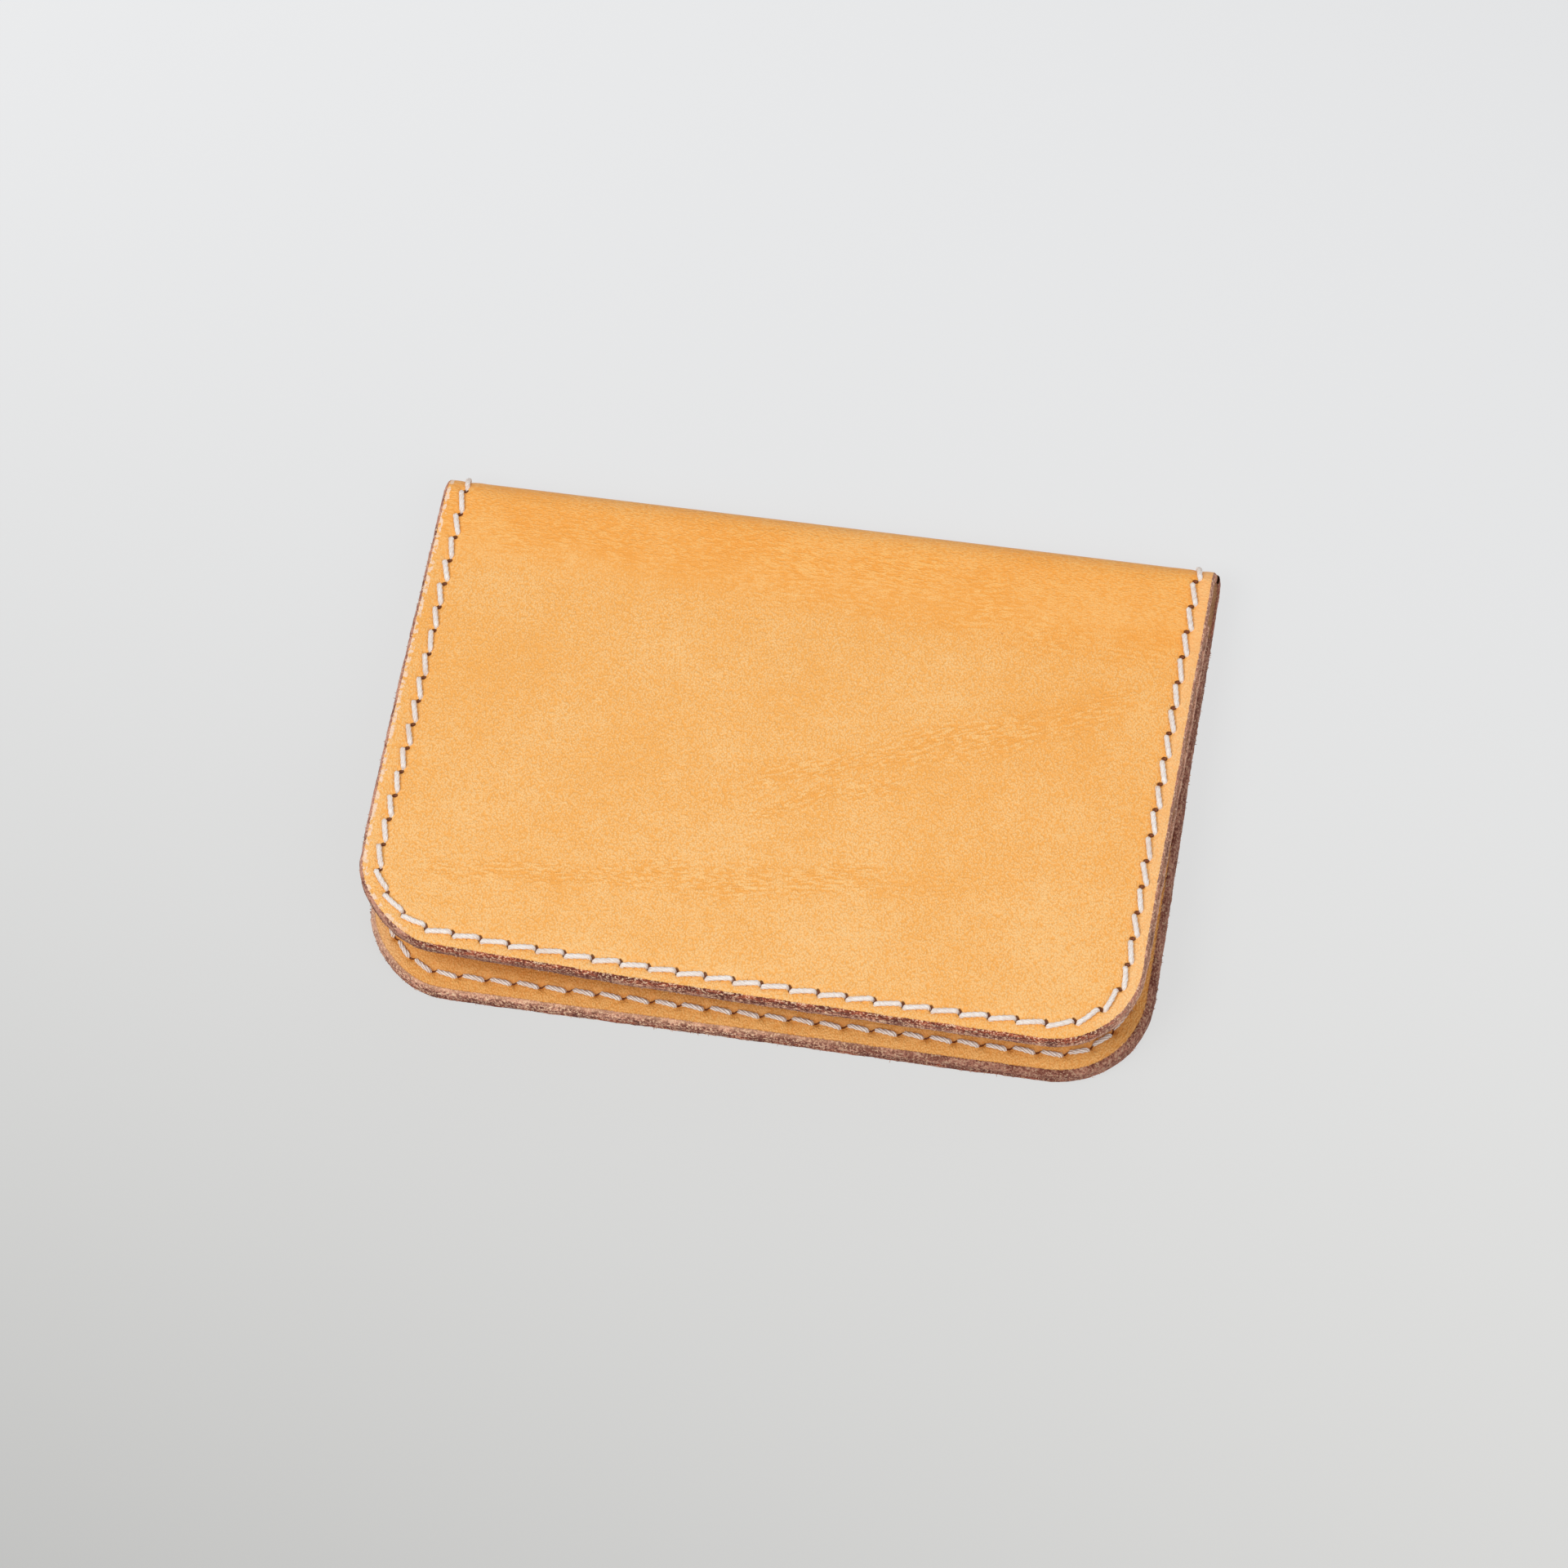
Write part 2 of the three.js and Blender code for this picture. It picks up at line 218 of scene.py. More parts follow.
def pattern_place(u, v):
    """The pattern point at distance u along the seam line and v inward from it."""
    u, v = np.broadcast_arrays(np.asarray(u, float), np.asarray(v, float))
    side = np.where(u < SEAM_LENGTH / 2, -1, 1)
    along = np.where(side < 0, u, SEAM_LENGTH - u)
    inset = v + SEAM_INSET
    angle = np.clip((along - CORNER_START) / SEAM_RADIUS, 0, math.pi / 2)
    past = np.maximum(along - CORNER_START - QUARTER_SEAM, 0)
    x = FLAT_HALF + (CORNER - inset) * np.cos(angle) - past
    s = np.minimum(along, CORNER_START) + (CORNER - inset) * np.sin(angle)
    return side * x, s


def hole_places(leaf):
    """Distances along the seam of a leaf's awl holes, and of the middle holes of the spine before
    and after them. The holes are set by hand, so they drift from even steps: on the front leaf
    they crowd down the left side and are wider apart round the left corner."""
    count = HOLE_COUNT[leaf]
    step = (SEAM_LENGTH - 2 * FIRST_HOLE) / (count - 1)
    even = FIRST_HOLE + step * np.arange(-1, count + 1)
    if leaf == "back":
        return even - 0.45 * hill(even - 135, 50)
    left_side = np.interp(even, (0, 58, 77), (0, -1.75, 0))
    right_corner = np.interp(even, (88, 156, 170), (0, -0.65, 0))
    return even + left_side + right_corner


HOLE_PLACES = {leaf: hole_places(leaf) for leaf in HOLE_COUNT}


def from_hole(u, leaf):
    """Signed distance along the seam to the nearest awl hole."""
    holes = HOLE_PLACES[leaf]
    gaps = u[:, None] - holes[None, :]
    nearest = np.abs(gaps).argmin(1)
    return gaps[np.arange(len(u)), nearest]


def seam_relief(near, v):
    """How far the pulled-in stitches press the grain face down, from the distance along the seam
    to the nearest hole and the distance v across it."""
    groove = 0.10 * hill(v, 0.8)
    pinch = 0.20 * hill(near, 0.5) * hill(v, 0.55)
    pit = 0.30 * hill(near, 0.26) * hill(v - 0.06, 0.42)
    pucker = 0.065 * hill(near, 0.8) * hill(np.abs(v) - 1.1, 0.4)
    return groove + pinch + pit - pucker


# ---- Leather panels -------------------------------------------------------------------------

GRAIN_INSETS = (4.8, 4.2, 3.75, 3.4, 3.15, 2.95, 2.8, 2.65, 2.5, 2.35, 2.2, 2.05, 1.9, 1.7,
                1.5, 1.25, 1.0, 0.8, 0.62)
FLESH_INSETS = (0.12, 0.5, 1.2, 2.4, 3.6, 4.8)
RING_INSET = GRAIN_INSETS[0]
COLUMN_STEP = 0.25
EDGE_STEPS = 9


def edge_profile(thickness, bevel):
    """Rows of (inset, depth below the grain face, edge) from the grain face round the cut edge
    to the flesh face. Edge is 1 on the cut edge."""
    rows = [(inset, 0.0, 0.0) for inset in GRAIN_INSETS if inset > bevel]
    for step in range(EDGE_STEPS):
        angle = math.pi / 2 * (step + 0.5) / EDGE_STEPS
        inset = bevel * (1 - math.sin(angle))
        depth = bevel * (1 - math.cos(angle))
        rows.append((inset, depth, float(ease((bevel - 0.05 - inset) / 0.3))))
    middle = (bevel + thickness - 0.1) / 2
    rows.append((0.0, middle, 1.0))
    rows.append((0.015, thickness - 0.1, 1.0))
    rows.append((0.05, thickness - 0.03, 1.0))
    rows += [(inset, thickness, float(inset < 0.2)) for inset in FLESH_INSETS]
    return rows


def edge_columns(start, closed):
    """Boundary points of a panel and how each moves inward per millimetre of inset, from the
    start of its left side to the start of its right side, and back along the mouth if closed."""
    step = COLUMN_STEP
    sides = np.linspace(start, CORNER_START, int((CORNER_START - start) / step) + 1)
    angles = np.linspace(0, math.pi / 2, int(QUARTER_SEAM / step) + 1)[1:-1]
    fronts = np.linspace(-FLAT_HALF, FLAT_HALF, int(2 * FLAT_HALF / step) + 1)
    mitre = (CORNER_START - sides) / (CORNER_START - start) if closed else 0 * sides
    left = [((-HALF_WIDTH, s), (1, m)) for s, m in zip(sides, mitre)]
    turn = [((-FLAT_HALF - CORNER * math.cos(a), CORNER_START + CORNER * math.sin(a)),
             (math.cos(a), -math.sin(a))) for a in angles]
    front = [((x, LENGTH), (0, -1)) for x in fronts]

    def mirrored(columns):
        return [((-b[0], b[1]), (-m[0], m[1])) for b, m in reversed(columns)]

    columns = left + turn + front + mirrored(turn) + mirrored(left)
    if closed:
        count = int(2 * HALF_WIDTH / (2 * step))
        xs = np.linspace(HALF_WIDTH, -HALF_WIDTH, count)[1:-1]
        columns += [((x, start), (-x / HALF_WIDTH, 1)) for x in xs]
    base = np.array([column[0] for column in columns])
    move = np.array([column[1] for column in columns])
    return base, move


def fill(ring, start, closed):
    """Triangles over the middle of a panel, inside its innermost ring. Returns the added points
    and the triangles, which number the ring's points first."""
    extra = []
    if not closed:
        left, right = ring[0], ring[-1]
        count = int((right[0] - left[0]) / 1.2)
        extra = [(x, start) for x in np.linspace(right[0], left[0], count)[1:-1]]
    boundary = [tuple(point) for point in ring] + extra
    margin = RING_INSET + 0.8
    spacing = 1.6
    row_step = spacing * 0.87       # makes the triangles nearly equilateral
    xs = np.arange(-HALF_WIDTH + margin, HALF_WIDTH - margin, spacing)
    near = start + (margin if closed else 0.8)
    middles = []
    for row, s in enumerate(np.arange(near, LENGTH - margin, row_step)):
        shifted = xs + (spacing / 2 if row % 2 else 0)
        _, v = seam_place(shifted, np.full(len(shifted), s))
        middles += [(x, s) for x, deep in zip(shifted, v) if deep > margin - SEAM_INSET]
    points = [Vector(point) for point in boundary + middles]
    result = delaunay_2d_cdt(points, [], [list(range(len(boundary)))], 1, 1e-7)
    first = [sources[0] for sources in result[3]]
    triangles = [[first[corner] for corner in face] for face in result[2]]
    return np.array(extra + middles).reshape(-1, 2), triangles


def mesh_object(name, points, faces, layers):
    """A smooth mesh from points in millimetres, with named attributes on its points."""
    mesh = bpy.data.meshes.new(name)
    mesh.from_pydata((np.asarray(points) * MM).tolist(), [], faces)
    for label, values in layers.items():
        kind = "FLOAT_VECTOR" if values.ndim == 2 else "FLOAT"
        attribute = mesh.attributes.new(label, kind, "POINT")
        key = "vector" if values.ndim == 2 else "value"
        attribute.data.foreach_set(key, np.ascontiguousarray(values, np.float32).ravel())
    mesh.polygons.foreach_set("use_smooth", np.ones(len(mesh.polygons), bool))
    mesh.update()
    piece = bpy.data.objects.new(name, mesh)
    bpy.context.scene.collection.objects.link(piece)
    return piece


def panel(name, leaf, start, outer, thickness, bevel, grain_out, closed, seed, spill=0.0):
    """A leather panel on its pattern from s = start to the free edge, its outer face at depth
    outer. The grain is on the outer face if grain_out, or else on the inner face. Spill is how
    far its last side stands past the true cut."""
    base, move = edge_columns(start, closed)
    rows = edge_profile(thickness, bevel)
    columns = len(base)
    u_edge, _ = seam_place(base[:, 0], base[:, 1])
    wobble = 0.05 * value_noise(u_edge, 0 * u_edge, 2.3, seed)
    wobble += 0.035 * value_noise(u_edge, 0 * u_edge, 0.55, seed + 1)
    cut = drift(u_edge, EDGE_DRIFT[leaf]) - spill * ease((u_edge - 165) / 15)
    flat, depth, edge = [], [], []
    for number, (inset, below, edge_share) in enumerate(rows):
        ragged = 0.03 * value_noise(u_edge, number + 0 * u_edge, 0.3, seed + 2) * edge_share
        shift = inset + (cut + wobble + ragged) * float(ease(1 - inset / 2))
        flat.append(base + move * shift[:, None])
        depth.append(np.full(columns, below))
        edge.append(np.full(columns, edge_share))
    faces = []
    steps = columns if closed else columns - 1
    for row in range(len(rows) - 1):
        for column in range(steps):
            after = (column + 1) % columns
            a, b = row * columns + column, row * columns + after
            faces.append((a, a + columns, b + columns, b))
    extra, triangles = fill(flat[0], start, closed)
    grain_extra = len(rows) * columns
    flesh_ring = (len(rows) - 1) * columns
    flesh_extra = grain_extra + len(extra)

    def numbered(corner, ring, added):
        return ring + corner if corner < columns else added + corner - columns

    for triangle in triangles:
        faces.append(tuple(numbered(c, 0, grain_extra) for c in reversed(triangle)))
        faces.append(tuple(numbered(c, flesh_ring, flesh_extra) for c in triangle))
    for below in (0.0, thickness):
        flat.append(extra)
        depth.append(np.full(len(extra), below))
        edge.append(np.zeros(len(extra)))
    flat = np.concatenate(flat)
    depth = np.concatenate(depth)
    x, s = flat[:, 0], flat[:, 1]
    u, v = seam_place(x, s)
    rim = v + SEAM_INSET - drift(u, EDGE_DRIFT[leaf])
    v = v - drift(u, SEAM_DRIFT[leaf])
    near = from_hole(u, leaf)
    sunk = depth + seam_relief(near, v) * (1 - ease(depth / (thickness * 0.6)))
    h = outer + sunk if grain_out else outer + thickness - sunk
    points = place(x, s, h, leaf)
    if not grain_out:
        faces = [tuple(reversed(face)) for face in faces]
    layers = {
        "pattern": np.stack([x, s, depth], 1),
        "seam": np.stack([near, v, u], 1),
        "edge": np.concatenate(edge),
        "rim": rim,
        "flesh": (depth > thickness * 0.9).astype(float),
    }
    return mesh_object(name, points, faces, layers)


FIBRES_PER_LEAF = 900


def edge_fibres(name, leaf, seed):
    """Loose fibres that stand out of a leaf's cut edge, as thin bent spikes."""
    rng = np.random.default_rng(seed)
    points, faces = [], []
    for _ in range(FIBRES_PER_LEAF):
        u = rng.uniform(MOUTH + 1, SEAM_LENGTH - MOUTH - 1)
        cut = drift(u, EDGE_DRIFT[leaf]) - SEAM_INSET
        depth = rng.uniform(0.35, LEAF_THICKNESS - 0.35)
        out = rng.exponential(0.07) + 0.05
        lean, rise = rng.normal(0, 0.7, 2) * out
        thick = rng.uniform(0.025, 0.06)
        stations = ((0.0, cut + 0.12, 0.0), (0.4, cut - out * 0.6, 0.35), (1.0, cut - out, 1.0))
        base = len(points)
        for share, v, bend in stations[:2]:
            x, s = pattern_place([u + lean * bend + thick * k for k in (-1, 1, 0)], v)
            h = depth + rise * share + np.array([-0.6, -0.6, 1.0]) * thick
            points += list(place(x, s, h, leaf))
        x, s = pattern_place([u + lean], stations[2][1])
        points += list(place(x, s, [depth + rise], leaf))
        for k in range(3):
            after = (k + 1) % 3
            faces.append((base + k, base + after, base + 3 + after, base + 3 + k))
            faces.append((base + 3 + k, base + 3 + after, base + 6))
        faces.append((base + 2, base + 1, base))
    return mesh_object(name, points, faces, {})


# ---- Thread ---------------------------------------------------------------------------------

THREAD_SIDES = 16
THREAD_RINGS = 28
PLIES = 4


# How far the ends of the outer stitches stand off the seam line, against distance along it: they
# lean more down the sides than along the front.
OUTER_SLANT = ((0, 55, 78, 155, 178, 233), (0.42, 0.46, 0.30, 0.30, 0.46, 0.44))


def stitch_levels(s, inside):
    """The depth of the leather face that a stitch lies on, and the direction away from it."""
    if not inside:
        return np.zeros_like(s), -1.0
    step = ease((s - MOUTH + 0.5) / 0.55)
    return COVER + (LEAF_THICKNESS - COVER) * step, 1.0


def stitch_path(hole, inside, leaf, rng):
    """The middle line of one stitch, from a hole to the next: its points, the directions
    away from the leather and beside it, and the distance of each point from the nearer end."""
    rise = 0.09 if inside else 0.13
    start_gap, end_gap = (0.32, 0.36) if inside else (-0.04, 0.20)
    slant = 0.20
    if not inside:
        slant = float(np.interp(HOLE_PLACES[leaf][hole], *OUTER_SLANT))
        start_gap += slant - 0.30
        end_gap += slant - 0.30
    share = 0.5 - 0.5 * np.cos(np.linspace(0, math.pi, THREAD_RINGS))
    start = HOLE_PLACES[leaf][hole] + start_gap + rng.normal(0, 0.03)
    end = HOLE_PLACES[leaf][hole + 1] - end_gap + rng.normal(0, 0.03)
    u = np.clip(start + (end - start) * share, 0, SEAM_LENGTH)
    v = slant * rng.normal(1, 0.12) * (2 * share - 1) + rng.normal(0, 0.03)
    v = v - 0.10 * hill(share, 0.08) - 0.12 * hill(share - 1, 0.06)
    from_end = np.minimum(share, 1 - share) * (end - start)
    lift = rise + 0.025 * rng.normal() + 0.05 * hill(share - 0.5, 0.35) - 0.8 * hill(from_end, 0.22)
    if inside:
        lift = lift - 0.16 * ease((share - 0.35) / 0.65)
    x, s = pattern_place(u, v + drift(u, SEAM_DRIFT[leaf]))
    level, away = stitch_levels(s, inside)
    path = place(x, s, level + away * lift, leaf)
    above = unit(place(x, s, level + away * (lift + 0.5), leaf) - path)
    ahead = unit(np.gradient(path, axis=0))
    beside = unit(np.cross(ahead, above))
    return path, np.cross(beside, ahead), beside, from_end


def stitch_skin(hole, inside, leaf, rng):
    """Rings of vertices round one twisted stitch, how deep each lies between its plies, and where
    each is on the fibres, which run along the plies."""
    width, height = (0.33, 0.29) if inside else (0.35, 0.30)
    groove = 0.17 if inside else 0.10
    lay = 3.3 if inside else 3.0
    path, above, beside, from_end = stitch_path(hole, inside, leaf, rng)
    steps = np.linalg.norm(np.diff(path, axis=0), axis=1)
    travelled = np.concatenate([[0], np.cumsum(steps)])
    twist = 2 * math.pi * (travelled / lay + rng.uniform())
    strands = np.linspace(0, 2 * math.pi, THREAD_SIDES, endpoint=False)
    around = strands[None, :] - twist[:, None]
    lobes = np.cos(PLIES * strands)[None, :] + 0 * around
    swell = 1 + groove * (lobes - 0.3) + 0.03 * rng.normal(size=around.shape)
    taper = 0.66 + 0.34 * ease(from_end / 0.4)
    taper += 0.05 * value_noise(travelled, 7.3 * hole + 0 * travelled, 0.6, 8)
    if inside:
        taper *= 1.08 - 0.30 * travelled / travelled[-1]
    sideways = width * taper[:, None] * swell * np.cos(around)
    upward = height * taper[:, None] * swell * np.sin(around)
    rings = path[:, None] + sideways[..., None] * beside[:, None]
    rings = rings + upward[..., None] * above[:, None]
    # This depth also sets the painted shade between the plies, stronger on the inner stitches.
    valley = (1 - lobes) / 2 * (1.0 if inside else 0.7)
    lengthwise = 1.3 * travelled[:, None] + 3.7 * hole + 0 * around
    strand = np.stack([lengthwise, 2.4 * np.cos(strands) + 0 * around,
                       2.4 * np.sin(strands) + 0 * around], 2)
    return rings.reshape(-1, 3), valley.ravel(), strand.reshape(-1, 3)


def stitching(name, leaf, runs, seed):
    """One mesh of separate stitches. Runs lists (first hole, last hole, inside)."""
    rng = np.random.default_rng(seed)
    points, valley, strand, faces, tone = [], [], [], [], []
    total = 0
    for first, last, inside in runs:
        for hole in range(first, last):
            ring, ring_valley, ring_strand = stitch_skin(hole, inside, leaf, rng)
            rings = len(ring) // THREAD_SIDES
            for row in range(rings - 1):
                for side in range(THREAD_SIDES):
                    after = (side + 1) % THREAD_SIDES
                    a = total + row * THREAD_SIDES
                    faces.append((a + side, a + after, a + THREAD_SIDES + after,
                                  a + THREAD_SIDES + side))
            faces.append(tuple(total + side for side in reversed(range(THREAD_SIDES))))
            end = total + (rings - 1) * THREAD_SIDES
            faces.append(tuple(end + side for side in range(THREAD_SIDES)))
            points.append(ring)
            valley.append(ring_valley)
            strand.append(ring_strand)
            tone.append(np.full(len(ring), rng.uniform()))
            total += len(ring)
    layers = {
        "valley": np.concatenate(valley),
        "strand": np.concatenate(strand),
        "tone": np.concatenate(tone),
    }
    return mesh_object(name, np.concatenate(points), faces, layers)


# ---- Material building ----------------------------------------------------------------------

def linear(red, green, blue):
    """An sRGB colour from 0 to 255 as linear RGBA."""
    channels = []
    for value in (red, green, blue):
        share = value / 255
        channels.append(share / 12.92 if share <= 0.04045 else ((share + 0.055) / 1.055) ** 2.4)
    return (*channels, 1.0)


class Nodes:
    """Short names for the shader nodes used here. Inputs may be sockets or plain values."""

    def __init__(self, name):
        self.material = bpy.data.materials.new(name)
        self.material.use_nodes = True
        self.tree = self.material.node_tree
        self.tree.nodes.clear()

    def feed(self, node, inputs):
        """Sets or links a node's inputs, given by name or number. None leaves one as it is."""
        for key, value in inputs:
            if isinstance(value, bpy.types.NodeSocket):
                self.tree.links.new(value, node.inputs[key])
            elif value is not None:
                node.inputs[key].default_value = value

    def add(self, kind, inputs=(), **settings):
        made = self.tree.nodes.new(kind)
        for key, value in settings.items():
            setattr(made, key, value)
        self.feed(made, inputs.items() if isinstance(inputs, dict) else enumerate(inputs))
        return made

    def math(self, operation, *values, clamp=False):
        return self.add("ShaderNodeMath", values, operation=operation, use_clamp=clamp).outputs[0]

    def attribute(self, name, output="Fac"):
        return self.add("ShaderNodeAttribute", attribute_name=name).outputs[output]

    def noise(self, vector, scale, detail=2.0, roughness=0.5, distortion=0.0):
        inputs = {"Vector": vector, "Scale": scale, "Detail": detail, "Roughness": roughness,
                  "Distortion": distortion}
        return self.add("ShaderNodeTexNoise", inputs).outputs[0]

    def cells(self, vector, scale, feature="F1", smoothness=None):
        inputs = {"Vector": vector, "Scale": scale}
        if smoothness is not None:
            inputs["Smoothness"] = smoothness
        return self.add("ShaderNodeTexVoronoi", inputs, feature=feature).outputs[0]

    def between(self, value, low, high, to_low=0.0, to_high=1.0):
        """Maps low..high smoothly to to_low..to_high."""
        inputs = (value, low, high, to_low, to_high)
        return self.add("ShaderNodeMapRange", inputs, interpolation_type="SMOOTHSTEP").outputs[0]

    def blend(self, share, first, second, mode="MIX"):
        """Mixes two colours. The colour mixer's own sockets are 0, 6 and 7, and its result is 2."""
        inputs = {0: share, 6: first, 7: second}
        return self.add("ShaderNodeMix", inputs, data_type="RGBA", blend_type=mode).outputs[2]

    def parts(self, vector):
        return self.add("ShaderNodeSeparateXYZ", (vector,)).outputs

    def total(self, *terms):
        result = terms[0]
        for term in terms[1:]:
            result = self.math("ADD", result, term)
        return result

    def times(self, *factors):
        result = factors[0]
        for factor in factors[1:]:
            result = self.math("MULTIPLY", result, factor)
        return result

    def stretched(self, vector, scale, turn=0.0):
        inputs = {"Vector": vector, "Rotation": (0, 0, turn), "Scale": scale}
        return self.add("ShaderNodeMapping", inputs).outputs[0]

    def bump(self, height, distance):
        inputs = {"Strength": 1.0, "Distance": distance, "Height": height}
        return self.add("ShaderNodeBump", inputs).outputs[0]

    def surface(self, **inputs):
        shader = self.add("ShaderNodeBsdfPrincipled", inputs={
            key.replace("_", " "): value for key, value in inputs.items()})
        output = self.add("ShaderNodeOutputMaterial")
        self.tree.links.new(shader.outputs[0], output.inputs[0])
        return self.material


# ---- Leather --------------------------------------------------------------------------------

GRAIN_HEIGHT = 0.120                # millimetres
COVER_EDGE = (linear(108, 40, 28), linear(192, 94, 60))
POCKET_EDGE = (linear(136, 78, 62), linear(222, 160, 134))
EDGE_FIBRE = (linear(250, 214, 178), linear(84, 42, 32))
DUSKY_EDGE = linear(100, 46, 32)
BEVELLED_EDGE = linear(214, 162, 140)
RIGHT_EDGE_LIGHT = linear(230, 184, 158)
SHOULDER_HIGHLIGHT = linear(236, 188, 152)
FLESH = (linear(176, 122, 80), linear(222, 176, 132))
RUBBED = linear(246, 212, 182)
MARGIN_HIGHLIGHT = linear(254, 214, 168)
SPECK = linear(170, 84, 44)
SLIT_SHADE = linear(104, 38, 18)
PAINTED_SHADE_TINT = (0.99, 0.79, 0.36, 1.0)         # painted shade: deepens the colour at the fold, toward the right and in the creases
GAP_SHADE_TINT = (0.69, 0.49, 0.285, 1.0)  # painted shade: deepens it between the leaves


def slit_mask(n, inside):
    """1 inside the awl slits, from the seam attribute."""
    along, across, u = n.parts(n.attribute("seam", "Vector"))
    lean = math.radians(-24 if inside else 108)
    long, wide = (0.60, 0.12) if inside else (0.60, 0.28)
    cos, sin = math.cos(lean), math.sin(lean)
    across = n.math("SUBTRACT", across, 0.0 if inside else 0.12)
    a = n.total(n.times(along, cos / long), n.times(across, sin / long))
    b = n.math("SUBTRACT", n.times(across, cos / wide), n.times(along, sin / wide))
    if not inside:
        # The slits down the sides are shorter than those along the front.
        from_middle = n.math("ABSOLUTE", n.math("SUBTRACT", u, SEAM_LENGTH / 2))
        a = n.times(a, n.between(from_middle, 40.0, 58.0, 1.0, 1.6))
    reach = n.total(n.times(a, a), n.times(b, b))
    return n.between(reach, 0.55, 1.35, 1.0, 0.0)


def crease_band(n, pattern, middle, turn, half_length, half_width):
    """A band of fine creases in the grain: its mask, and its lines from -0.62 to 0.38."""
    local = n.add("ShaderNodeVectorMath", (pattern, (*middle, 0)), operation="SUBTRACT").outputs[0]
    local = n.stretched(local, (1, 1, 1), turn=-turn)
    along, across, _ = n.parts(local)
    wander = n.math("SUBTRACT", n.noise(local, 0.06, 2), 0.5)
    across = n.total(across, n.times(wander, 8.0))
    side = n.between(n.math("ABSOLUTE", across), half_width * 0.15, half_width, 1.0, 0.0)
    reach = n.between(n.math("ABSOLUTE", along), half_length * 0.5, half_length, 1.0, 0.0)
    patchy = n.between(n.noise(local, 0.16, 2), 0.30, 0.62, 0.35, 1.0)
    lines = n.noise(n.stretched(local, (0.55, 2.6, 1.0)), 1.0, 2, 0.55, 0.5)
    return n.times(side, reach, patchy), n.math("SUBTRACT", n.between(lines, 0.36, 0.62), 0.62)


def off_middle(n, value, middle, weight):
    """How far a texture value is from its middle, times a weight."""
    return n.times(n.math("SUBTRACT", value, middle), weight)


def cut_edge(n, pattern, x, rim, edge_tones, shoulder_highlight_share, worn, dusky):
    """The colour of the cut edge, with painted light on its right-hand side and a painted highlight
    along the top of its middle part, its fibres, and how much of the bevel on the left shows it.
    """
    patches = n.noise(n.stretched(pattern, (0.35, 0.35, 1.3)), 1.0, 4, 0.7)
    fibres = n.noise(n.stretched(pattern, (1.0, 1.0, 1.3)), 2.9, 3, 0.72)
    raw = n.blend(n.between(patches, 0.38, 0.62), *edge_tones)
    raw = n.blend(n.between(fibres, 0.52, 0.62, 0.0, 0.9), raw, EDGE_FIBRE[0])
    raw = n.blend(n.between(fibres, 0.48, 0.39, 0.0, 0.85), raw, EDGE_FIBRE[1])
    bevelled = n.times(n.between(rim, 0.22, 0.62, 1.0, 0.0), n.between(x, -46.0, -40.0, worn, 0.0))
    patchy = n.times(bevelled, n.between(patches, 0.38, 0.58, 0.15, 0.7))
    raw = n.blend(patchy, raw, BEVELLED_EDGE)
    # Painted light: the cut edge on the right is lightened.
    raw = n.blend(n.times(n.between(x, 46.0, 51.0), 0.32), raw, RIGHT_EDGE_LIGHT)
    raw = n.blend(n.between(x, -34.0, 6.0, dusky, 0.0), raw, DUSKY_EDGE)
    # Painted highlight on the rounded top of the cut edge, on the pocket panels.
    shoulder = n.times(n.between(rim, 0.16, 0.72, 0.0, shoulder_highlight_share), n.between(x, -30.0, 2.0))
    return n.blend(shoulder, raw, SHOULDER_HIGHLIGHT), fibres, bevelled


